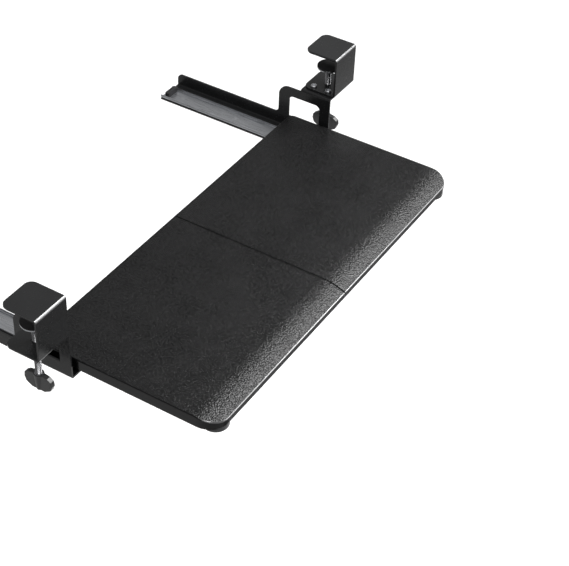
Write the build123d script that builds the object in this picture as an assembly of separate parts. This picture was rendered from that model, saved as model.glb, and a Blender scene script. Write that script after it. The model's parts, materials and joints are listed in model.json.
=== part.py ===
from build123d import *
import math
import os

# A sliding keyboard tray that hangs from two clamps on the edge of a desk. Sizes are in millimetres.
# X runs along the desk's edge, Y to the rear and Z up. The origin is on the desk's top front edge, midway
# between the clamps. The tray is drawn pulled out, and everything on one side is modelled at positive X.

# Tray board, in two halves under one skin each
board_length = 668
board_depth = 300
board_thick = 18
board_below_desk_top = 118
board_kept_under_desk = 71.5
front_corner_r = 31
rear_corner_r = 10
fall_depth = 40
fall_drop = 9.4
top_edge_r = 2.2
skin_thick = 0.8
seam_gap = 0.3

# Dowels and steel plates that join the two halves
dowel_r = 4
dowel_length = 30
dowel_chamfer = 1
dowel_place_shares = (0.25, 0.75)
plate_length = 120
plate_width = 30
plate_thick = 2
plate_corner_r = 4
plate_place_shares = (0.36, 0.64)
plate_screw_shares = (0.35, 0.78)
plate_screw_head_r = 3.5
plate_screw_head_height = 2
plate_screw_r = 1.75
plate_screw_length = 14

# Clamp, folded from one strip
strip_width = 62
strip_thick = 3
bend_r = 1.5
jaw_reach = 57
jaw_corner_r = 12
jaw_gap = 66
jaw_pad_thick = 1.5
jaw_pad_inset = 1

# Clamp screw with its nut and its swivelling pressure pad
desk_thick = 30
screw_r = 5
screw_play = 0.05
screw_setback = 28
jaw_hole_play = 0.5
screw_nut_flats = 17
screw_nut_height = 9
pad_r = 19
pad_edge_r = 0.6
pad_rubber_thick = 2
pad_plate_thick = 2.5
boss_r = 9
boss_height = 6
ball_tip_r = 4.5
ball_tip_drop = 3.7
socket_play = 0.1
neck_r = 3.25
neck_length = 5.8
thread_chamfer = 1
bare_thread = 80.5
tail_r = 3.25

# Knob on the foot of the screw
knob_span = 47
knob_height = 27.5
knob_thick = 8
knob_edge_r = 0.9
knob_outline_shares = ((0.18, 0), (0.35, 0.06), (0.48, 0.22), (0.5, 0.5), (0.44, 0.78), (0.23, 1))
knob_corner_r = 3
knob_bore_depth = 16
hub_top_r = 7.5
hub_foot_r = 5
collar_r = 6.4
collar_height = 1.4
collar_chamfer = 0.5

# Hanger bracket, a folded plate that stands beside the tray
bracket_thick = 3
side_gap = 5
strip_offset = 4
top_flange_width = 25
top_relief = 4.5
leg_depth = 18.5
arm_height = 20
window_length = 58
rear_leg_depth = 20
bar_height = 24
window_corner_r = 8
arm_corner_r = 18
bar_corner_r = 9

# Bolts that hold the bracket to the clamp
bolt_r = 3
bolt_play = 0.2
bolt_pitch = 27
bolt_length = 14
bolt_head_r = 5.25
bolt_head_height = 3.3
bolt_nut_flats = 10
bolt_nut_height = 5

# Ball slide between the bracket and the board
slide_width = 35
slide_height = 12
slide_sheet = 1.2
slide_side_gap = 16
rail_setback = 20
ball_r = 1.5875
ball_play = 0.0625
outer_lip_angle = 70
inner_lip_angle = 190
wall_clear = 0.95
slide_front_gap = 5
slide_tail = 8.5
stop_gap = 2
stop_thick = 1.5
stop_play = 0.3
stop_r = 0.7
cage_sheet = 0.5
cage_lift = 0.25
cage_wing_height = 4.15
cage_hole_play = 0.1125
cage_end_margin = 4.2
balls_per_row = 5
bumper_length = 8
bumper_width = 26
bumper_height = 8.5
bumper_corner_r = 2
bumper_gap = 0.5
rail_tail = 5.5
slide_screw_shares = (0.08, 0.5, 0.92)
slide_screw_head_r = 3.75
slide_screw_head_height = 2.2
slide_screw_r = 2
slide_screw_length = 13
rivet_shares = (0.12, 0.5, 0.88)
rivet_r = 2
rivet_flush_r = 3.6
rivet_head_r = 3.8
rivet_head_height = 1.6

# Round feet under the front corners
foot_r = 19
foot_height = 9.5
foot_neck_height = 0.9
foot_ring_height = 2
foot_groove_height = 1.2
foot_groove_depth = 1.6
foot_edge_r = 1.4
foot_inset = 0.5
foot_recess_r = 5
foot_recess_depth = 3.5
foot_screw_head_r = 4
foot_screw_head_height = 2.4
foot_screw_r = 2
foot_screw_length = 18

# Forms that all the fasteners share
head_round_share = 0.45
drive_depth_share = 0.55
drive_flats_share = 0.75
drive_slot_share = 0.28
nut_chamfer_share = 0.05
point_chamfer_share = 0.33
overrun = 5

# Places worked out from the sizes above
board_top = -board_below_desk_top
board_bottom = board_top - board_thick
board_rear = board_kept_under_desk
board_front = board_rear - board_depth
board_half = board_length / 2
seam_half = seam_gap / 2
fall_start = board_front + fall_depth
fall_r = (fall_depth ** 2 + fall_drop ** 2) / (2 * fall_drop)

plate_in = board_half + side_gap
plate_out = plate_in + bracket_thick
strip_in = plate_out + strip_offset
strip_out = strip_in + strip_width
screw_x = (strip_in + strip_out) / 2
screw_y = screw_setback
jaw_top = jaw_pad_thick + strip_thick
low_jaw_top = jaw_pad_thick - jaw_gap
low_jaw_bottom = low_jaw_top - strip_thick
top_flange_edge = plate_in + top_flange_width
bolt_x = (strip_in + top_flange_edge) / 2
bolt_ys = (screw_y - bolt_pitch / 2, screw_y + bolt_pitch / 2)

slide_bottom = board_bottom - slide_height
slide_x = plate_in - slide_side_gap - slide_width / 2
race_r = ball_r + ball_play
race_out_r = race_r + slide_sheet
ball_u = slide_width / 2 - race_out_r
ball_w = race_out_r
inner_wall_u = ball_u - wall_clear
foot_y = board_front + foot_inset + foot_r
inner_front = foot_y + foot_r + slide_front_gap
inner_rear = board_rear + slide_tail
travel = rail_setback - (foot_y + foot_r) - stop_gap
bumper_front = inner_rear + travel + bumper_gap
rail_rear = bumper_front + bumper_length + rail_tail
cage_front = rail_setback + stop_thick + stop_play
cage_rear = inner_rear - stop_thick - stop_play
cage_web = slide_sheet + cage_lift
ball_pitch = (cage_rear - cage_front - 2 * cage_end_margin) / (balls_per_row - 1)

pad_top = -desk_thick
pad_plate_top = pad_top - pad_rubber_thick
boss_top = pad_plate_top - pad_plate_thick
boss_bottom = boss_top - boss_height
ball_tip_z = boss_top - ball_tip_drop
thread_top = ball_tip_z - neck_length
knob_top = thread_top - bare_thread


# Blocks, rods and runs
def block(x0, x1, y0, y1, z0, z1):
    return Pos((x0 + x1) / 2, (y0 + y1) / 2, (z0 + z1) / 2) * Box(x1 - x0, y1 - y0, z1 - z0)


def along_x(face, x0, x1):
    plane = Plane(origin=(x0, 0, 0), x_dir=(0, 1, 0), z_dir=(1, 0, 0))
    return extrude(plane * face, amount=x1 - x0)


def along_y(face, y0, y1):
    plane = Plane(origin=(0, y1, 0), x_dir=(1, 0, 0), z_dir=(0, -1, 0))
    return extrude(plane * face, amount=y1 - y0)


def along_z(face, z0, z1):
    return extrude(Pos(0, 0, z0) * face, amount=z1 - z0)


def rod(x, y, z0, z1, r):
    return Pos(x, y, (z0 + z1) / 2) * Cylinder(r, z1 - z0)


def cross_rod(x0, x1, y, z, r):
    return Pos((x0 + x1) / 2, y, z) * Rot(0, 90, 0) * Cylinder(r, abs(x1 - x0))


def turned(points):
    return revolve(Plane.XZ * make_face(Polyline(*points, close=True)), Axis.Z)


def rectangle(a0, a1, b0, b1):
    return Pos((a0 + a1) / 2, (b0 + b1) / 2) * Rectangle(a1 - a0, b1 - b0)


def ring_sector(centre, r_in, r_out, start, end):
    outer = CenterArc(centre, r_out, start, end - start)
    inner = CenterArc(centre, r_in, start, end - start)
    return make_face([outer, Line(outer @ 1, inner @ 1), inner, Line(inner @ 0, outer @ 0)])


def corner(face, a, b, r):
    # rounds the corner of a flat outline that lies nearest to (a, b)
    nearest = face.vertices().sort_by_distance(Vector(a, b))[0]
    return fillet(nearest, r)


def other_side(part):
    return mirror(part, about=Plane.YZ)


# Fasteners, built point down with the head's seat at height zero
def headed_screw(head_r, head_height, shank_r, length, hex_drive):
    head = rod(0, 0, 0, head_height, head_r)
    head = fillet(head.edges().group_by(Axis.Z)[-1], head_round_share * head_height)
    drive_floor = head_height * (1 - drive_depth_share)
    drive_size = head_r * drive_flats_share
    if hex_drive:
        drive = along_z(RegularPolygon(drive_size / 2, 6, major_radius=False), drive_floor, head_height)
    else:
        slot = drive_size * drive_slot_share
        arm = Rectangle(2 * drive_size, 2 * slot)
        drive = along_z(arm + Rot(0, 0, 90) * arm, drive_floor, head_height)
    shank = rod(0, 0, -length, 0, shank_r)
    shank = chamfer(shank.edges().group_by(Axis.Z)[0], point_chamfer_share * shank_r)
    return head - drive + shank


def hex_nut(flats, height, bore_r):
    body = along_z(RegularPolygon(flats / 2, 6, major_radius=False), 0, height)
    corner_r = flats / math.sqrt(3)
    turned_blank = rod(0, 0, 0, height, corner_r)
    ends = turned_blank.edges().filter_by(GeomType.CIRCLE)
    turned_blank = chamfer(ends, nut_chamfer_share * flats)
    return (body & turned_blank) - rod(0, 0, -overrun, height + overrun, bore_r)


def heads_down(part):
    return Rot(180, 0, 0) * part


# Clamp
def rounded_front(y0, y1, z0, z1, r):
    face = rectangle(y0, y1, z0, z1)
    return fillet(face.vertices().group_by(Axis.X)[0], r)


def clamp_frame():
    outside = rounded_front(-strip_thick, jaw_reach, low_jaw_bottom, jaw_top, bend_r + strip_thick)
    inside = rounded_front(0, jaw_reach + overrun, low_jaw_top, jaw_pad_thick, bend_r)
    frame = along_x(outside - inside, strip_in, strip_out)
    frame = fillet(frame.edges().filter_by(Axis.Z).group_by(Axis.Y)[-1], jaw_corner_r)
    hole_low = low_jaw_bottom - overrun
    hole_high = low_jaw_top + overrun
    frame -= rod(screw_x, screw_y, hole_low, hole_high, screw_r + jaw_hole_play)
    for y in bolt_ys:
        frame -= rod(bolt_x, y, hole_low, hole_high, bolt_r + bolt_play)
    return frame


def jaw_pad():
    x0 = strip_in + jaw_pad_inset
    x1 = strip_out - jaw_pad_inset
    outline = rectangle(x0, x1, bend_r, jaw_reach - jaw_pad_inset)
    outline = fillet(outline.vertices().group_by(Axis.Y)[-1], jaw_corner_r - jaw_pad_inset)
    return along_z(outline, 0, jaw_pad_thick)


def clamp_nut():
    nut = hex_nut(screw_nut_flats, screw_nut_height, screw_r + screw_play)
    return Pos(screw_x, screw_y, low_jaw_bottom - screw_nut_height) * nut


def bracket_bolts():
    bolt = headed_screw(bolt_head_r, bolt_head_height, bolt_r, bolt_length, True)
    return [Pos(bolt_x, y, low_jaw_top) * bolt for y in bolt_ys]


def bracket_nuts():
    nut = hex_nut(bolt_nut_flats, bolt_nut_height, bolt_r)
    nut_bottom = low_jaw_bottom - bracket_thick - bolt_nut_height
    return [Pos(bolt_x, y, nut_bottom) * nut for y in bolt_ys]


# Pressure pad on the tip of the screw
def pad_rubber():
    disc = rod(screw_x, screw_y, pad_plate_top, pad_top, pad_r)
    return fillet(disc.edges().group_by(Axis.Z)[-1], pad_edge_r)


def pad_plate():
    disc = rod(screw_x, screw_y, boss_top, pad_plate_top, pad_r)
    disc = fillet(disc.edges().group_by(Axis.Z)[0], pad_edge_r)
    boss = rod(screw_x, screw_y, boss_bottom, boss_top, boss_r)
    socket = Pos(screw_x, screw_y, ball_tip_z) * Sphere(ball_tip_r + socket_play)
    return disc + boss - socket


# Screw and knob
def clamp_screw():
    # a plain tail, moulded into the knob, then the thread, the neck and the ball tip
    tail = rod(screw_x, screw_y, knob_top - knob_bore_depth, knob_top, tail_r)
    thread = rod(screw_x, screw_y, knob_top, thread_top, screw_r)
    thread = chamfer(thread.edges().group_by(Axis.Z)[-1], thread_chamfer)
    neck = rod(screw_x, screw_y, thread_top, ball_tip_z, neck_r)
    return tail + thread + neck + Pos(screw_x, screw_y, ball_tip_z) * Sphere(ball_tip_r)


def knob_outline():
    right = [(screw_y + knob_span * a, knob_top - knob_height * b) for a, b in knob_outline_shares]
    left = [(2 * screw_y - y, z) for y, z in reversed(right)]
    outline = make_face(Polyline(*right, *left, close=True))
    return fillet(outline.vertices(), knob_corner_r)


def knob():
    wing = along_x(knob_outline(), screw_x - knob_thick / 2, screw_x + knob_thick / 2)
    sides = wing.faces().filter_by(Axis.X)
    wing = fillet(sides.edges(), knob_edge_r)
    hub = Pos(screw_x, screw_y, knob_top - knob_height / 2) * Cone(hub_foot_r, hub_top_r, knob_height)
    bore = rod(screw_x, screw_y, knob_top - knob_bore_depth, knob_top + overrun, tail_r)
    return wing + hub - bore


def knob_collar():
    collar = rod(screw_x, screw_y, knob_top, knob_top + collar_height, collar_r)
    collar = chamfer(collar.edges().group_by(Axis.Z)[-1], collar_chamfer)
    return collar - rod(screw_x, screw_y, knob_top - overrun, knob_top + collar_height + overrun, screw_r)


# Hanger bracket
def bracket_section():
    # seen along Y: the top flange turns outward under the clamp and the bottom flange inward under the slide
    bend_out_r = bend_r + bracket_thick
    upper = rectangle(plate_in, top_flange_edge, slide_bottom, low_jaw_bottom)
    upper = corner(upper, plate_in, low_jaw_bottom, bend_out_r)
    under = rectangle(plate_out, top_flange_edge + overrun, slide_bottom - overrun, low_jaw_bottom - bracket_thick)
    under = corner(under, plate_out, low_jaw_bottom - bracket_thick, bend_r)
    inner_edge = slide_x - slide_width / 2
    lower = rectangle(inner_edge, plate_out, slide_bottom - bracket_thick, slide_bottom + bend_out_r)
    lower = corner(lower, plate_out, slide_bottom - bracket_thick, bend_out_r)
    over = rectangle(inner_edge - overrun, plate_in, slide_bottom, slide_bottom + bend_out_r + overrun)
    over = corner(over, plate_in, slide_bottom, bend_r)
    return (upper - under) + (lower - over)


def bracket_side():
    # seen along X: front leg, arm, rear leg and the long bar, with the window between the legs
    floor = slide_bottom - bracket_thick
    bar_top = floor + bar_height
    arm_top = low_jaw_bottom - top_relief
    arm_low = low_jaw_bottom - arm_height
    leg_rear = bend_r + leg_depth
    window_rear = leg_rear + window_length
    rear_leg = window_rear + rear_leg_depth
    outline = make_face(
        Polyline(
            (bend_r, floor),
            (bend_r, low_jaw_bottom),
            (jaw_reach, low_jaw_bottom),
            (jaw_reach, arm_top),
            (rear_leg, arm_top),
            (rear_leg, bar_top),
            (rail_rear, bar_top),
            (rail_rear, floor),
            close=True,
        )
    )
    outline = corner(outline, rear_leg, arm_top, arm_corner_r)
    outline = corner(outline, rear_leg, bar_top, bar_corner_r)
    outline = corner(outline, rail_rear, bar_top, bar_corner_r)
    window = rectangle(leg_rear, window_rear, bar_top, arm_low)
    window = corner(window, leg_rear, arm_low, window_corner_r)
    window = corner(window, window_rear, arm_low, window_corner_r)
    return outline - window


def hanger_bracket(rivets):
    section = along_y(bracket_section(), bend_r, rail_rear)
    side = along_x(bracket_side(), slide_x - slide_width, top_flange_edge + overrun)
    bracket = section & side
    for y in bolt_ys:
        bracket -= rod(bolt_x, y, low_jaw_bottom - overrun, low_jaw_bottom + overrun, bolt_r + bolt_play)
    for rivet in rivets:
        bracket -= rivet
    return bracket


# Ball slide, drawn about its own middle: u across, w up from the flange
def on_slide(part):
    return Pos(slide_x, 0, slide_bottom) * part


def mirrored_pair(face):
    return face + mirror(face, about=Plane.YZ)


def outer_section():
    web = rectangle(-ball_u, ball_u, 0, slide_sheet)
    lip = ring_sector((ball_u, ball_w), race_r, race_out_r, -90, outer_lip_angle)
    return web + mirrored_pair(lip)


def inner_section():
    wall_in = inner_wall_u - slide_sheet
    lip_start = math.degrees(math.acos(-wall_clear / race_r))
    wall_foot = ball_w + math.sqrt(race_r ** 2 - wall_clear ** 2)
    wall = rectangle(wall_in, inner_wall_u, wall_foot, slide_height)
    lip = ring_sector((ball_u, ball_w), race_r, race_out_r, lip_start, inner_lip_angle)
    web = rectangle(-inner_wall_u, inner_wall_u, slide_height - slide_sheet, slide_height)
    return web + mirrored_pair(wall + lip)


def cage_section():
    wing_out = ball_u + cage_sheet / 2
    wing_in = wing_out - cage_sheet
    web = rectangle(-wing_out, wing_out, cage_web, cage_web + cage_sheet)
    wing = rectangle(wing_in, wing_out, cage_web, cage_web + cage_wing_height)
    return web + mirrored_pair(wing)


def ball_places():
    middle = (cage_front + cage_rear) / 2
    first = middle - ball_pitch * (balls_per_row - 1) / 2
    rows = [first + ball_pitch * i for i in range(balls_per_row)]
    return [(side * ball_u, y) for side in (-1, 1) for y in rows]


def slide_rivets():
    foot = -bracket_thick
    rivet = turned(
        (
            (0, slide_sheet),
            (rivet_flush_r, slide_sheet),
            (rivet_r, 0),
            (rivet_r, foot),
            (rivet_head_r, foot),
            (rivet_head_r, foot - rivet_head_height / 2),
            (rivet_r, foot - rivet_head_height),
            (0, foot - rivet_head_height),
        )
    )
    length = rail_rear - rail_setback
    return [on_slide(Pos(0, rail_setback + share * length, 0) * rivet) for share in rivet_shares]


def slide_outer(rivets):
    rail = on_slide(along_y(outer_section(), rail_setback, rail_rear))
    tab = Pos(ball_u, ball_w) * Circle(race_r + slide_sheet / 2)
    tab = tab & rectangle(ball_u - cage_sheet / 2, slide_width / 2, 0, slide_height)
    rail += on_slide(along_y(mirrored_pair(tab), rail_setback, rail_setback + stop_thick))
    for rivet in rivets:
        rail -= rivet
    return rail


def slide_inner(screws):
    member = on_slide(along_y(inner_section(), inner_front, inner_rear))
    lug_in = ball_u - race_r - slide_sheet / 2
    lug = rectangle(lug_in, ball_u + cage_sheet / 2, ball_w - stop_r / 2, ball_w + stop_r)
    member += on_slide(along_y(mirrored_pair(lug), inner_rear - stop_thick, inner_rear))
    for screw in screws:
        member -= screw
    return member


def ball_cage():
    cage = along_y(cage_section(), cage_front, cage_rear)
    hole_r = ball_r + cage_hole_play
    hole_in = ball_u - race_r
    hole_out = ball_u + race_r
    for u, y in ball_places():
        cage -= cross_rod(math.copysign(hole_in, u), math.copysign(hole_out, u), y, ball_w, hole_r)
    return on_slide(cage)


def slide_balls():
    return [on_slide(Pos(u, y, ball_w) * Sphere(ball_r)) for u, y in ball_places()]


def slide_bumper():
    half = bumper_width / 2
    bumper = block(-half, half, bumper_front, bumper_front + bumper_length, slide_sheet, slide_sheet + bumper_height)
    bumper = fillet(bumper.edges().filter_by(Axis.Z), bumper_corner_r)
    return on_slide(bumper)


def slide_screws():
    screw = headed_screw(slide_screw_head_r, slide_screw_head_height, slide_screw_r, slide_screw_length, False)
    seat = board_bottom - slide_sheet
    length = inner_rear - inner_front
    places = [inner_front + share * length for share in slide_screw_shares]
    return [Pos(slide_x, y, seat) * heads_down(screw) for y in places]


# Feet under the front corners
def foot_screw():
    screw = headed_screw(foot_screw_head_r, foot_screw_head_height, foot_screw_r, foot_screw_length, False)
    seat = board_bottom - foot_height + foot_recess_depth
    return Pos(slide_x, foot_y, seat) * heads_down(screw)


def foot_groove(z0, z1):
    return rod(slide_x, foot_y, z0, z1, foot_r + overrun) - rod(slide_x, foot_y, z0, z1, foot_r - foot_groove_depth)


def tray_foot(screw):
    floor = board_bottom - foot_height
    body = rod(slide_x, foot_y, floor, board_bottom, foot_r)
    body = fillet(body.edges().group_by(Axis.Z)[0], foot_edge_r)
    neck_bottom = board_bottom - foot_neck_height
    groove_top = neck_bottom - foot_ring_height
    groove = foot_groove(neck_bottom, board_bottom) + foot_groove(groove_top - foot_groove_height, groove_top)
    recess = rod(slide_x, foot_y, floor - overrun, floor + foot_recess_depth, foot_recess_r)
    return body - groove - recess - screw


# Tray board
def board_solid(inset):
    # the half at positive X, with every outer face but the bottom and the seam moved in by the inset
    x_out = board_half - inset
    y_front = board_front + inset
    y_rear = board_rear - inset
    top = board_top - inset
    plan = rectangle(seam_half, x_out, y_front, y_rear)
    plan = corner(plan, x_out, y_front, front_corner_r - inset)
    plan = corner(plan, x_out, y_rear, rear_corner_r - inset)
    radius = fall_r - inset
    fall_angle = math.degrees(math.asin((fall_start - y_front) / radius))
    fall = CenterArc((fall_start, top - radius), radius, 90, fall_angle)
    lip = fall @ 1
    rim = Polyline(lip, (y_front, board_bottom), (y_rear, board_bottom), (y_rear, top), fall @ 0)
    profile = make_face([fall, *rim.edges()])
    slab = along_z(plan, board_bottom, board_top)
    solid = slab & along_x(profile, 0, board_half)
    # the rounding starts at the front lip and runs on along the whole rim, up to the seam at both ends
    front_lip = solid.edges().sort_by_distance(Vector(board_half / 2, y_front, lip.Y))[0]
    return fillet(front_lip, top_edge_r - inset)


def dowels():
    middle = (board_top + board_bottom) / 2
    half = dowel_length / 2
    pins = []
    for share in dowel_place_shares:
        pin = cross_rod(-half, half, board_front + share * board_depth, middle, dowel_r)
        pins.append(chamfer(pin.edges().filter_by(GeomType.CIRCLE), dowel_chamfer))
    return pins


def joining_screws():
    screw = headed_screw(
        plate_screw_head_r, plate_screw_head_height, plate_screw_r, plate_screw_length, False
    )
    seat = board_bottom - plate_thick
    places = [board_front + share * board_depth for share in plate_place_shares]
    across = [side * share * plate_length / 2 for side in (-1, 1) for share in plate_screw_shares]
    return [Pos(x, y, seat) * heads_down(screw) for y in places for x in across]


def joining_plates(screws):
    plates = []
    for share in plate_place_shares:
        y = board_front + share * board_depth
        outline = Pos(0, y) * RectangleRounded(plate_length, plate_width, plate_corner_r)
        plate = along_z(outline, board_bottom - plate_thick, board_bottom)
        for screw in screws:
            plate -= screw
        plates.append(plate)
    return plates


def panel_core(fasteners):
    core = board_solid(skin_thick)
    for fastener in fasteners:
        core -= fastener
    return core


def panel_skin():
    return board_solid(0) - board_solid(skin_thick)


def save(name, shapes):
    solids = [solid for shape in shapes for solid in shape.solids()]
    whole = solids[0] if len(solids) == 1 else Compound(solids)
    export_step(whole, f"parts/{name}.step")


def save_both(name, shapes):
    save(name + "_right", shapes)
    save(name + "_left", [other_side(shape) for shape in shapes])


def main():
    os.makedirs("parts", exist_ok=True)
    rivets = slide_rivets()
    rail_screws = slide_screws()
    foot_fastener = foot_screw()
    join_screws = joining_screws()
    pins = dowels()

    save_both("clamp_frame", [clamp_frame()])
    save_both("jaw_pad", [jaw_pad()])
    save_both("clamp_nut", [clamp_nut()])
    save_both("pad_rubber", [pad_rubber()])
    save_both("pad_plate", [pad_plate()])
    save_both("clamp_screw", [clamp_screw()])
    save_both("knob", [knob()])
    save_both("knob_collar", [knob_collar()])
    save_both("hanger_bracket", [hanger_bracket(rivets)])
    save_both("bracket_bolts", bracket_bolts())
    save_both("bracket_nuts", bracket_nuts())
    save_both("slide_outer", [slide_outer(rivets)])
    save_both("slide_inner", [slide_inner(rail_screws)])
    save_both("slide_rivets", rivets)
    save_both("slide_screws", rail_screws)
    save_both("slide_bumper", [slide_bumper()])
    save_both("ball_cage", [ball_cage()])
    save_both("slide_balls", slide_balls())
    save_both("tray_foot", [tray_foot(foot_fastener)])
    save_both("foot_screw", [foot_fastener])
    save_both("panel_core", [panel_core([*rail_screws, foot_fastener, *join_screws, *pins])])
    save_both("panel_skin", [panel_skin()])
    save("panel_dowels", pins)
    save("joining_plates", joining_plates(join_screws))
    save("joining_screws", join_screws)


main()
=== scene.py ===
import json
import math

import bmesh
import bpy
from mathutils import Matrix, Vector

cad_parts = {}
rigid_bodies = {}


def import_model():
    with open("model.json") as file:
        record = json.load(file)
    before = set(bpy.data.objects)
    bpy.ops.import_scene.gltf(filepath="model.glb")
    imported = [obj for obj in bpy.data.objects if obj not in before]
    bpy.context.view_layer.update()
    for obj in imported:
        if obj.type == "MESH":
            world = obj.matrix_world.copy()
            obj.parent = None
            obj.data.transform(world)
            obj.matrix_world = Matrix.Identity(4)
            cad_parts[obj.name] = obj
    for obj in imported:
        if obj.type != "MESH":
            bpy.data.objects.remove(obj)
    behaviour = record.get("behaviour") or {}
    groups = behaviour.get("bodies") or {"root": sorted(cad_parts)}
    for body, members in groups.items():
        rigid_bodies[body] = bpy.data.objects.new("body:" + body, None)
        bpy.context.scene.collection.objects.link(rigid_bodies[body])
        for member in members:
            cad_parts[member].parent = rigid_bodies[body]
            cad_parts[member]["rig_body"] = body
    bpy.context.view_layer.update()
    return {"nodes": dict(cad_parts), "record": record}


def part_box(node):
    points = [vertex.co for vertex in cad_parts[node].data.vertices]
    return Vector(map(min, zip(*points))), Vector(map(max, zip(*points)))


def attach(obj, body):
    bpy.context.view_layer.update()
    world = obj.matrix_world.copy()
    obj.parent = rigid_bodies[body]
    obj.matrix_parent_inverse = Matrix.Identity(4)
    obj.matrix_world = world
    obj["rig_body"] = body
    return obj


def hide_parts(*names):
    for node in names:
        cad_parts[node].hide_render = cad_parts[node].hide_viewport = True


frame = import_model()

# A sliding keyboard tray that hangs from two clamps. Lengths are in metres and angles in degrees, in the frame
# of the CAD: X across the tray, Y to the rear, Z up. The origin is midway between the clamps, at the inner
# faces of their front walls and the lower faces of their top pads.

# Camera, its lens and sensor in millimetres
camera_place = Vector((-1.4807, -0.9874, 1.2905))
camera_right = Vector((0.5278, -0.8486, 0.0352))
camera_down = Vector((-0.5343, -0.3640, -0.7629))
camera_lens = 95.98
camera_sensor = 36

# Floor: painted shade, darker at the front than at the rear, with a painted pool of light, pale and
# elliptical, behind the part as the camera sees it
floor_z = -1.6
floor_half = 16
floor_painted_light = 1.0
floor_painted_shade_front = 0.28
floor_painted_shade_rear = 0.42
floor_reach = (-1.4, 0.9)
pool_middle = (1.75, 0.94)
pool_turn = 30.2
pool_reach = (1.9, 1.2)
pool_start = 1.17
pool_end = 1.36

# Light: a sky that is brighter on one side, a wide sun, and two soft boxes with their azimuth and elevation
aim = Vector((0, -0.08, -0.1))
sky_dim = 0.2
sky_bright = 0.38
sky_toward = (0.35, 0.4, 0.85)
sky_start = 0.5
sky_end = 0.88
sun_strength = 2.6
sun_angle = 50
sun_from = Vector((-0.35, -0.3, 1))
glint_from = (-45, 25)
glint_distance = 2.4
glint_size = (1.6, 1.4)
glint_spread = 80
glint_power = 5.8
rim_from = (-26, 51)
rim_distance = 2.4
rim_size = (1.0, 1.4)
rim_power = 80
rim_spread = 180

# Patterns: the values that most of a noise lies between, the values of a normal's component that a mask starts
# and ends at, and how many cells wide the noise that disturbs their rows is
noise_range = (0.3, 0.7)
top_facing = (0.86, 0.9)
above_front_facing = (0.1, 0.35)
forward_facing = (-0.45, -0.25)
front_facing = (-0.97, -0.93)
under_facing = (-0.95, -0.6)
wander_scale = 3

# Painted highlight on the rolled edge between the top and the front of the tray and of the clamps: a pale,
# mostly metallic colour there brightens the line that the lamps draw on it
lip_highlight_colour = (0.22, 0.22, 0.223)
lip_highlight_metal = 0.8

# Seam between the halves of the tray, painted black as painted shade
seam_start = 0.0011
seam_roll = 0.0016
seam_reach = 0.0003
seam_rest = 0.00001
seam_depth = 0.0002
seam_shade_tone = 0.1

# Ring of the feet, from their top down, glossier and painted paler as a painted highlight
ring_inset = 0.0008
ring_foot = 0.0030

# Eased edges
edge_ease = 0.0004
edge_segments = 3
edge_angle = 38
weld = 0.000002
flat_angle = 0.6

# Clamp screw
thread_pitch = 0.0015
thread_depth = 0.0009
thread_chamfer = 0.001
thread_steps = 8
thread_columns = 40
neck_r = 0.00325
neck_length = 0.0058
ball_r = 0.0045
ball_steps = 16

sides = ("left", "right")


# Camera, floor and lights
def axis_point(azimuth, elevation, distance):
    """A point seen from the middle of the part; azimuth 0 is +X and grows towards +Y."""
    a = math.radians(azimuth)
    e = math.radians(elevation)
    return aim + distance * Vector((math.cos(a) * math.cos(e), math.sin(a) * math.cos(e), math.sin(e)))


def place(obj):
    bpy.context.scene.collection.objects.link(obj)
    return obj


def make_camera():
    data = bpy.data.cameras.new("camera")
    data.lens = camera_lens
    data.sensor_width = camera_sensor
    camera = place(bpy.data.objects.new("camera", data))
    back = camera_right.cross(-camera_down)
    turn = Matrix((camera_right, -camera_down, back)).transposed()
    camera.matrix_world = Matrix.Translation(camera_place) @ turn.to_4x4()
    bpy.context.scene.camera = camera


def make_floor():
    mesh = bpy.data.meshes.new("floor")
    signs = ((-1, -1), (1, -1), (1, 1), (-1, 1))
    corners = [(x * floor_half, y * floor_half, floor_z) for x, y in signs]
    mesh.from_pydata(corners, [], [(0, 1, 2, 3)])
    floor = place(bpy.data.objects.new("floor", mesh))
    paint = Paint("floor", (floor_painted_light,) * 3, 1, specular=0)
    # Painted pool of light behind the part, with painted shade around it that darkens towards the front
    from_painted_light_pool = paint.away_from((*pool_middle, floor_z), pool_turn, pool_reach)
    painted_shade_outside = paint.spread(paint.axis("Y"), floor_painted_shade_front, floor_painted_shade_rear, *floor_reach)
    paint.colour_from(paint.spread(from_painted_light_pool, floor_painted_light, painted_shade_outside, pool_start, pool_end))
    mesh.materials.append(paint.material)


def make_sky():
    world = bpy.data.worlds.new("sky")
    world.use_nodes = True
    bpy.context.scene.world = world
    nodes = world.node_tree.nodes
    links = world.node_tree.links
    where = nodes.new("ShaderNodeTexCoord")
    towards = nodes.new("ShaderNodeVectorMath")
    towards.operation = "DOT_PRODUCT"
    towards.inputs[1].default_value = Vector(sky_toward).normalized()
    level = nodes.new("ShaderNodeMapRange")
    level.inputs["From Min"].default_value = sky_start
    level.inputs["From Max"].default_value = sky_end
    level.inputs["To Min"].default_value = sky_dim
    level.inputs["To Max"].default_value = sky_bright
    links.new(where.outputs["Generated"], towards.inputs[0])
    links.new(towards.outputs["Value"], level.inputs["Value"])
    links.new(level.outputs["Result"], nodes["Background"].inputs["Color"])


def aimed_light(name, kind, point):
    data = bpy.data.lights.new(name, kind)
    light = place(bpy.data.objects.new(name, data))
    light.location = point
    light.rotation_mode = "QUATERNION"
    light.rotation_quaternion = (aim - point).to_track_quat("-Z", "Y")
    light.visible_camera = False
    return data


def make_lights():
    sun = aimed_light("sun", "SUN", aim + sun_from)
    sun.energy = sun_strength
    sun.angle = math.radians(sun_angle)
    for name, direction, distance, size, spread, power in (
        ("glint", glint_from, glint_distance, glint_size, glint_spread, glint_power),
        ("rim", rim_from, rim_distance, rim_size, rim_spread, rim_power),
    ):
        box = aimed_light(name, "AREA", axis_point(*direction, distance))
        box.shape = "RECTANGLE"
        box.size, box.size_y = size
        box.spread = math.radians(spread)
        box.energy = power


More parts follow.
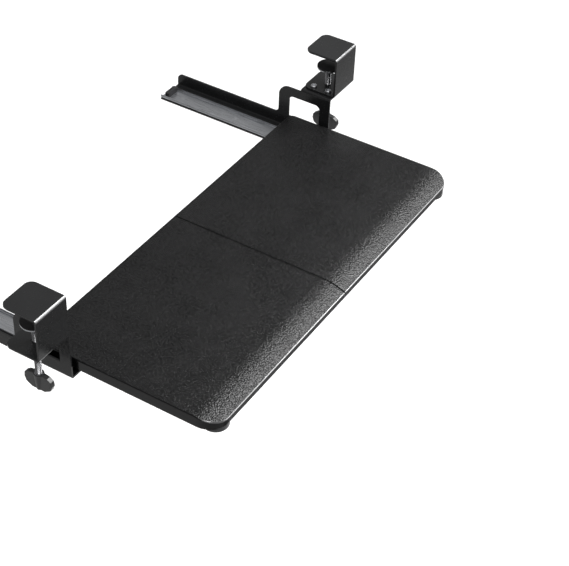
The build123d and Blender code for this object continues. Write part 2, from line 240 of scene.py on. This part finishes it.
# Materials
class Paint:
    """A principled material whose colour, roughness and bump come from patterns in the part's own frame."""

    def __init__(self, name, colour, roughness, metallic=0.0, specular=0.5):
        self.material = bpy.data.materials.new(name)
        self.material.use_nodes = True
        self.nodes = self.material.node_tree.nodes
        self.links = self.material.node_tree.links
        self.shader = self.nodes["Principled BSDF"]
        self.put("Base Color", (*colour, 1))
        self.put("Roughness", roughness)
        self.put("Metallic", metallic)
        self.put("Specular IOR Level", specular)
        self.place = self.node("ShaderNodeTexCoord").outputs["Object"]
        self.height = None

    def put(self, socket, value):
        self.shader.inputs[socket].default_value = value

    def wire(self, value, socket):
        if isinstance(value, bpy.types.NodeSocket):
            self.links.new(value, socket)
        else:
            socket.default_value = value

    def node(self, kind, **inputs):
        made = self.nodes.new(kind)
        for name, value in inputs.items():
            self.wire(value, made.inputs[name.replace("_", " ")])
        return made

    def operation(self, kind, name, *values):
        """A math or vector math node; values go to its inputs in order."""
        made = self.nodes.new(kind)
        made.operation = name
        for socket, value in zip(made.inputs, values):
            self.wire(value, socket)
        return made

    def math(self, name, a, b=0.0):
        return self.operation("ShaderNodeMath", name, a, b).outputs[0]

    def vector_math(self, name, *values):
        return self.operation("ShaderNodeVectorMath", name, *values).outputs

    def stretched(self, scale):
        return self.vector_math("MULTIPLY", self.place, scale)["Vector"]

    def noise(self, size, detail=2.0, vector=None):
        made = self.node("ShaderNodeTexNoise", Vector=vector or self.place, Scale=1 / size, Detail=detail)
        return made.outputs["Fac"]

    def cells(self, size, warp, softness=0.5):
        """Rounded pebbles of about that size, their rows disturbed by noise."""
        scale = 1 / (wander_scale * size)
        wander = self.node("ShaderNodeTexNoise", Vector=self.place, Scale=scale, Detail=1.0).outputs["Color"]
        moved = self.vector_math("MULTIPLY_ADD", wander, (warp,) * 3, self.place)["Vector"]
        made = self.nodes.new("ShaderNodeTexVoronoi")
        made.feature = "SMOOTH_F1"
        self.wire(moved, made.inputs["Vector"])
        self.wire(1 / size, made.inputs["Scale"])
        self.wire(softness, made.inputs["Smoothness"])
        return made.outputs["Distance"]

    def away_from(self, middle, turn, reach):
        """The distance from the middle of an ellipse, which is 1 on its rim."""
        made = self.nodes.new("ShaderNodeMapping")
        made.vector_type = "TEXTURE"
        self.wire(self.place, made.inputs["Vector"])
        self.wire(middle, made.inputs["Location"])
        self.wire((0, 0, math.radians(turn)), made.inputs["Rotation"])
        self.wire((*reach, 1), made.inputs["Scale"])
        return self.vector_math("LENGTH", made.outputs["Vector"])["Value"]

    def spread(self, value, low, high, start=0.0, end=1.0):
        """value, which runs from start to end, spread over low to high."""
        bounds = {"From_Min": start, "From_Max": end, "To_Min": low, "To_Max": high}
        return self.node("ShaderNodeMapRange", Value=value, **bounds).outputs["Result"]

    def mixed(self, share, a, b):
        made = self.nodes.new("ShaderNodeMix")
        made.data_type = "RGBA"
        self.wire(share, made.inputs["Factor"])
        self.wire(a, made.inputs["A"])
        self.wire(b, made.inputs["B"])
        return made.outputs["Result"]

    def axis(self, name):
        return self.node("ShaderNodeSeparateXYZ", Vector=self.place).outputs[name]

    def facing(self, name):
        normal = self.node("ShaderNodeNewGeometry").outputs["Normal"]
        return self.node("ShaderNodeSeparateXYZ", Vector=normal).outputs[name]

    def lip_highlight(self):
        """1 where the surface rolls over from the top to the front, else 0; the painted highlight goes there.
        """
        below_top = self.spread(self.facing("Z"), 1, 0, *top_facing)
        above_front = self.spread(self.facing("Z"), 0, 1, *above_front_facing)
        forward = self.spread(self.facing("Y"), 1, 0, *forward_facing)
        return self.math("MULTIPLY", self.math("MULTIPLY", below_top, above_front), forward)

    def colour_from(self, value):
        self.links.new(value, self.shader.inputs["Base Color"])

    def roughness_from(self, value):
        self.links.new(value, self.shader.inputs["Roughness"])

    def metal_from(self, value):
        self.links.new(value, self.shader.inputs["Metallic"])

    def raise_by(self, value, depth, strength=1.0):
        """Adds a bump of that depth over the ones before it."""
        bump = self.nodes.new("ShaderNodeBump")
        bump.inputs["Strength"].default_value = strength
        bump.inputs["Distance"].default_value = depth
        self.links.new(value, bump.inputs["Height"])
        if self.height is not None:
            self.links.new(self.height, bump.inputs["Normal"])
        self.height = bump.outputs["Normal"]
        self.links.new(self.height, self.shader.inputs["Normal"])
        return self


def tone(colour, share):
    return (*(min(1.0, c * share) for c in colour), 1)


def black_steel():
    colour = (0.0095, 0.0097, 0.01)
    cloud_size = 0.03
    sheen_size = 0.004
    ripple_size, ripple_depth = 0.0016, 0.000003
    grit_size, grit_depth = 0.0004, 0.000002
    paint = Paint("black_steel", colour, 0.3, specular=0.42)
    # Painted highlight: the rolled edge gets a pale, mostly metallic colour
    lip_highlight = paint.lip_highlight()
    coated = paint.mixed(paint.noise(cloud_size, 3), tone(colour, 0.85), tone(colour, 1.2))
    paint.colour_from(paint.mixed(lip_highlight, coated, (*lip_highlight_colour, 1)))
    paint.metal_from(paint.math("MULTIPLY", lip_highlight, lip_highlight_metal))
    paint.roughness_from(paint.spread(paint.noise(sheen_size, 4), 0.2, 0.28, *noise_range))
    paint.raise_by(paint.noise(ripple_size, 1), ripple_depth, 0.7)
    return paint.raise_by(paint.noise(grit_size, 2), grit_depth, 0.6)


def black_rubber():
    colour = (0.007, 0.007, 0.0073)
    dust_size = 0.006
    dust_range = (0.4, 0.75)
    grit_size, grit_depth = 0.0007, 0.00004
    paint = Paint("black_rubber", colour, 0.75, specular=0.3)
    dust = paint.noise(dust_size, 5)
    cover = paint.spread(dust, 0, 1, *dust_range)
    paint.colour_from(paint.mixed(cover, tone(colour, 0.9), tone(colour, 2.2)))
    paint.roughness_from(paint.spread(dust, 0.68, 0.85, *noise_range))
    return paint.raise_by(paint.noise(grit_size, 3), grit_depth, 0.8)


def zinc_steel():
    colour = (0.56, 0.57, 0.59)
    spangle_size, spangle_warp = 0.0016, 0.0006
    cloud_size = 0.001
    grit_size, grit_depth = 0.0005, 0.000012
    paint = Paint("zinc_steel", colour, 0.3, metallic=1.0)
    spangle = paint.cells(spangle_size, spangle_warp)
    paint.colour_from(paint.mixed(spangle, tone(colour, 1.08), tone(colour, 0.8)))
    paint.roughness_from(paint.spread(paint.noise(cloud_size, 4), 0.24, 0.42, *noise_range))
    return paint.raise_by(paint.noise(grit_size, 3), grit_depth, 0.6)


def screw_steel():
    colour = (0.36, 0.36, 0.37)
    oil_size = 0.004
    grit_size, grit_depth = 0.0004, 0.000006
    paint = Paint("screw_steel", colour, 0.2, metallic=1.0)
    oil = paint.noise(oil_size, 3)
    paint.colour_from(paint.mixed(oil, tone(colour, 0.82), tone(colour, 1.12)))
    paint.roughness_from(paint.spread(oil, 0.15, 0.3, *noise_range))
    return paint.raise_by(paint.noise(grit_size, 2), grit_depth, 0.5)


def slide_steel():
    colour = (0.46, 0.47, 0.49)
    line_size, line_depth = 0.0005, 0.00001
    along_y = (1, 0.02, 1)
    paint = Paint("slide_steel", colour, 0.32, metallic=1.0)
    lines = paint.noise(line_size, 3, paint.stretched(along_y))
    paint.colour_from(paint.mixed(lines, tone(colour, 0.85), tone(colour, 1.12)))
    paint.roughness_from(paint.spread(lines, 0.24, 0.42, *noise_range))
    return paint.raise_by(lines, line_depth, 0.6)


def bright_steel():
    colour = (0.72, 0.72, 0.74)
    haze_size = 0.0006
    grit_size, grit_depth = 0.0003, 0.000001
    paint = Paint("bright_steel", colour, 0.08, metallic=1.0)
    paint.roughness_from(paint.spread(paint.noise(haze_size, 2), 0.05, 0.14, *noise_range))
    return paint.raise_by(paint.noise(grit_size, 1), grit_depth, 0.3)


def knob_plastic():
    colour = (0.006, 0.0061, 0.0063)
    cloud_size = 0.008
    sheen_size = 0.003
    grit_size, grit_depth = 0.0006, 0.000014
    paint = Paint("knob_plastic", colour, 0.34, specular=0.9)
    paint.colour_from(paint.mixed(paint.noise(cloud_size, 3), tone(colour, 0.85), tone(colour, 1.25)))
    paint.roughness_from(paint.spread(paint.noise(sheen_size, 3), 0.28, 0.42, *noise_range))
    return paint.raise_by(paint.noise(grit_size, 2), grit_depth, 0.7)


def board_skin():
    """Pebbled grain on the top with painted shade in its creases, a smooth rim painted darker as painted
    shade, painted shade on the front face, a painted highlight where the top rolls over to the front, and a
    seam between the halves painted black as painted shade.
    """
    colour = (0.0068, 0.0068, 0.007)
    grain_size, grain_warp, grain_softness = 0.0022, 0.0004, 0.35
    grain_depth = 0.0006
    crease_range = (0.15, 0.75)
    crease_shade_metal_share = 0.55
    grime_size = 0.05
    grime_range = (0.35, 0.7)
    band_cloud_size, band_sheen_size = 0.012, 0.004
    grit_size, grit_depth = 0.0005, 0.00003
    paint = Paint("board_skin", colour, 0.32, specular=0.38)
    top = paint.spread(paint.facing("Z"), 0, 1, *top_facing)
    # Painted shade in the seam: near-black colour, made metallic so that it reflects little
    seam = paint.spread(paint.math("ABSOLUTE", paint.axis("X")), 1, 0, seam_start, seam_roll)
    pebbles = paint.cells(grain_size, grain_warp, grain_softness)
    # Painted shade in the creases between the pebbles: darker there and lighter on their tops, and made
    # metallic so that the creases reflect less
    creases = paint.spread(pebbles, 0, 1, *crease_range)
    grime = paint.noise(grime_size, 4)
    leather_with_crease_shade = paint.mixed(creases, tone(colour, 1.15), tone(colour, 0.6))
    leather_with_crease_shade = paint.mixed(paint.spread(grime, 0, 0.5, *grime_range), leather_with_crease_shade, tone(colour, 1.35))
    # Painted shade: the sides and front of the rim are painted darker than the top
    rim_painted_shade = paint.mixed(paint.noise(band_cloud_size, 3), tone(colour, 0.3), tone(colour, 0.5))
    # Painted highlight: the rolled edge gets a pale, mostly metallic colour
    lip_highlight = paint.lip_highlight()
    with_lip_highlight = paint.mixed(lip_highlight, paint.mixed(top, rim_painted_shade, leather_with_crease_shade), (*lip_highlight_colour, 1))
    paint.colour_from(paint.mixed(seam, with_lip_highlight, tone(colour, seam_shade_tone)))
    # Painted shade on the front face: its dark colour is made metallic so that it reflects less
    front = paint.spread(paint.facing("Y"), 1, 0, *front_facing)
    crease_shade_metal = paint.math("MULTIPLY", paint.math("MULTIPLY", creases, top), crease_shade_metal_share)
    shade_metal = paint.math("MAXIMUM", paint.math("MAXIMUM", crease_shade_metal, seam), front)
    paint.metal_from(paint.math("MAXIMUM", paint.math("MULTIPLY", lip_highlight, lip_highlight_metal), shade_metal))
    grain_roughness = paint.spread(creases, 0.22, 0.32)
    top_roughness = paint.math("ADD", grain_roughness, paint.spread(grime, -0.03, 0.04, *noise_range))
    band_roughness = paint.spread(paint.noise(band_sheen_size, 3), 0.12, 0.17, *noise_range)
    paint.roughness_from(paint.mixed(top, band_roughness, top_roughness))
    relief = paint.math("MULTIPLY", paint.math("SUBTRACT", 1.0, pebbles), top)
    paint.raise_by(relief, grain_depth)
    paint.raise_by(paint.noise(grit_size, 2), grit_depth, 0.5)
    return paint.raise_by(paint.math("SUBTRACT", 1.0, seam), seam_depth)


def board_fibre():
    """Bare fibreboard, with a thin black backing sheet on its underside."""
    colour = (0.42, 0.30, 0.19)
    fibre_size, fibre_depth = 0.0009, 0.00006
    flattened = (1, 1, 2.5)
    sheet_dark = (0.012, 0.012, 0.0125, 1)
    sheet_light = (0.022, 0.022, 0.023, 1)
    sheet_cloud_size = 0.004
    paint = Paint("board_fibre", colour, 0.8, specular=0.3)
    fibres = paint.noise(fibre_size, 5, paint.stretched(flattened))
    raw = paint.mixed(paint.spread(fibres, 0, 1, *noise_range), tone(colour, 0.62), tone(colour, 1.2))
    backing = paint.spread(paint.facing("Z"), 1, 0, *under_facing)
    sheet = paint.mixed(paint.noise(sheet_cloud_size, 4), sheet_dark, sheet_light)
    paint.colour_from(paint.mixed(backing, raw, sheet))
    paint.roughness_from(paint.spread(backing, 0.82, 0.5))
    return paint.raise_by(fibres, fibre_depth, 0.6)


def foot_plastic():
    """Satin plastic whose ring, just below the top, is glossier, and painted paler as a painted highlight."""
    colour = (0.04, 0.0403, 0.041)
    speckle_size = 0.003
    grit_size, grit_depth = 0.0006, 0.000012
    body_roughness = (0.4, 0.4, 0.4, 1)
    ring_roughness = (0.2, 0.2, 0.2, 1)
    foot_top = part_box("tray_foot_left")[1].z
    paint = Paint("foot_plastic", colour, 0.36, specular=0.7)
    up = paint.axis("Z")
    above = paint.math("GREATER_THAN", up, foot_top - ring_foot)
    ring = paint.math("MULTIPLY", above, paint.math("LESS_THAN", up, foot_top - ring_inset))
    speckle = paint.noise(speckle_size, 3)
    body = paint.mixed(speckle, tone(colour, 0.85), tone(colour, 1.3))
    # Painted highlight: the ring is painted paler than the body
    ring_painted_highlight = paint.mixed(speckle, tone(colour, 1.4), tone(colour, 2.2))
    paint.colour_from(paint.mixed(ring, body, ring_painted_highlight))
    paint.roughness_from(paint.mixed(ring, body_roughness, ring_roughness))
    return paint.raise_by(paint.noise(grit_size, 2), grit_depth, 0.6)


def dowel_wood():
    colour = (0.60, 0.45, 0.28)
    ring_size, ring_depth = 0.0012, 0.00005
    along_x = (0.05, 1, 1)
    paint = Paint("dowel_wood", colour, 0.6, specular=0.3)
    rings = paint.noise(ring_size, 4, paint.stretched(along_x))
    paint.colour_from(paint.mixed(rings, tone(colour, 0.75), tone(colour, 1.15)))
    return paint.raise_by(rings, ring_depth, 0.6)


# Mesh pieces
def eased_copy(node, name):
    """A copy of a CAD node's mesh whose sharp edges are rounded off."""
    mesh = bpy.data.meshes.new(name)
    work = bmesh.new()
    work.from_mesh(frame["nodes"][node].data)
    bmesh.ops.remove_doubles(work, verts=work.verts, dist=weld)
    bmesh.ops.dissolve_limit(work, angle_limit=math.radians(flat_angle), verts=work.verts, edges=work.edges)
    work.verts.index_update()
    points = [tuple(v.co) for v in work.verts]
    faces = [[v.index for v in face.verts] for face in work.faces]
    work.free()
    mesh.from_pydata(points, [], faces)
    mesh.shade_smooth()
    piece = place(bpy.data.objects.new(name, mesh))
    bevel = piece.modifiers.new("edges", "BEVEL")
    bevel.width = edge_ease
    bevel.segments = edge_segments
    bevel.limit_method = "ANGLE"
    bevel.angle_limit = math.radians(edge_angle)
    bevel.harden_normals = True
    return piece


def closed_copy(node, name):
    """A copy of one half's mesh whose seam face nearly touches the other's and lets no light through."""
    mesh = frame["nodes"][node].data.copy()
    for vertex in mesh.vertices:
        if abs(vertex.co.x) < seam_reach:
            vertex.co.x = math.copysign(seam_rest, vertex.co.x)
    return place(bpy.data.objects.new(name, mesh))


def round_ring(r, z):
    return [(r, z)] * thread_columns


def thread_radius(outer, turn, z, low, high):
    """The radius of a right-hand thread at that angle and height, running out at both ends."""
    wave = (z / thread_pitch - turn) % 1.0
    cut = thread_depth * abs(2 * wave - 1)
    run_out = min(1.0, (z - low) / thread_pitch, (high - z) / thread_pitch)
    return outer - cut * max(0.0, run_out)


def thread_rings(outer, low, high):
    """The threaded rod, chamfered at its upper end."""
    rings = []
    steps = int((high - low) / thread_pitch * thread_steps)
    for i in range(steps + 1):
        z = low + (high - low) * i / steps
        ring = []
        for j in range(thread_columns):
            r = thread_radius(outer, j / thread_columns, z, low, high)
            ring.append((min(r, outer - thread_chamfer + (high - z)), z))
        rings.append(ring)
    return rings


def ball_rings(ball_z):
    """The ball tip, from the neck up to just below its pole."""
    start = math.asin(neck_r / ball_r)
    rings = []
    for i in range(1, ball_steps):
        polar = math.pi - start - (math.pi - start) * i / ball_steps
        rings.append(round_ring(ball_r * math.sin(polar), ball_z + ball_r * math.cos(polar)))
    return rings


def ringed_mesh(name, rings, x, y, low_z, high_z):
    """A closed mesh through rings about the upright axis at x and y, with a point on it at both ends."""
    points = []
    faces = []
    for ring in rings:
        for j, (r, z) in enumerate(ring):
            angle = 2 * math.pi * j / thread_columns
            points.append((x + r * math.cos(angle), y + r * math.sin(angle), z))
    for i in range(len(rings) - 1):
        for j in range(thread_columns):
            k = (j + 1) % thread_columns
            base = i * thread_columns
            faces.append((base + j, base + k, base + thread_columns + k, base + thread_columns + j))
    points.append((x, y, low_z))
    points.append((x, y, high_z))
    last = (len(rings) - 1) * thread_columns
    for j in range(thread_columns):
        k = (j + 1) % thread_columns
        faces.append((len(points) - 2, k, j))
        faces.append((len(points) - 1, last + j, last + k))
    mesh = bpy.data.meshes.new(name)
    mesh.from_pydata(points, [], faces)
    mesh.shade_smooth()
    return mesh


def threaded_screw(side):
    """The clamp screw with its thread cut, in rings about one axis: tail, threaded rod, neck, ball tip."""
    node = f"clamp_screw_{side}"
    name = f"threaded_screw_{side}"
    low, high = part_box(node)
    outer = (high.x - low.x) / 2
    thread_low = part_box(f"knob_{side}")[1].z
    ball_z = high.z - ball_r
    thread_top = ball_z - neck_length
    neck_joint = ball_z - math.sqrt(ball_r ** 2 - neck_r ** 2)
    rings = [round_ring(neck_r, low.z), round_ring(neck_r, thread_low)]
    rings += thread_rings(outer, thread_low, thread_top)
    rings += [round_ring(neck_r, thread_top), round_ring(neck_r, neck_joint)]
    rings += ball_rings(ball_z)
    mesh = ringed_mesh(name, rings, (low.x + high.x) / 2, (low.y + high.y) / 2, low.z, high.z)
    return place(bpy.data.objects.new(name, mesh))


# The part
def slot_of(node):
    return next(part["material_slot"] for part in frame["record"]["subparts"] if part["node"] == node)


def paint_over(piece, paint):
    piece.data.materials.clear()
    piece.data.materials.append(paint.material)


def dress(paints):
    """Puts the better pieces in place of their CAD nodes and paints every piece."""
    eased_nodes = {
        "clamp_frame": "clamp", "hanger_bracket": "bracket", "tray_foot": "foot", "knob_collar": "collar",
        "clamp_nut": "welded_nut", "bracket_nuts": "hex_nuts", "pad_plate": "pressure_plate",
    }
    pieces = {}
    for side in sides:
        for node, name in eased_nodes.items():
            pieces[f"{node}_{side}"] = eased_copy(f"{node}_{side}", f"{name}_{side}")
        pieces[f"clamp_screw_{side}"] = threaded_screw(side)
        pieces[f"panel_skin_{side}"] = closed_copy(f"panel_skin_{side}", f"skin_{side}")
    pieces["joining_plates"] = eased_copy("joining_plates", "join_plates")
    for node, piece in pieces.items():
        slot = slot_of(node)
        paint_over(piece, paints[slot])
        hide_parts(node)
        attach(piece, frame["nodes"][node]["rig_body"])
    for node, solid in frame["nodes"].items():
        if node not in pieces:
            paint_over(solid, paints[slot_of(node)])


def main():
    make_camera()
    make_floor()
    make_sky()
    make_lights()
    makers = (
        black_steel, black_rubber, zinc_steel, screw_steel, slide_steel, bright_steel, knob_plastic,
        board_skin, board_fibre, foot_plastic, dowel_wood,
    )
    dress({make.__name__: make() for make in makers})
    bpy.context.scene.view_settings.view_transform = "Standard"


main()
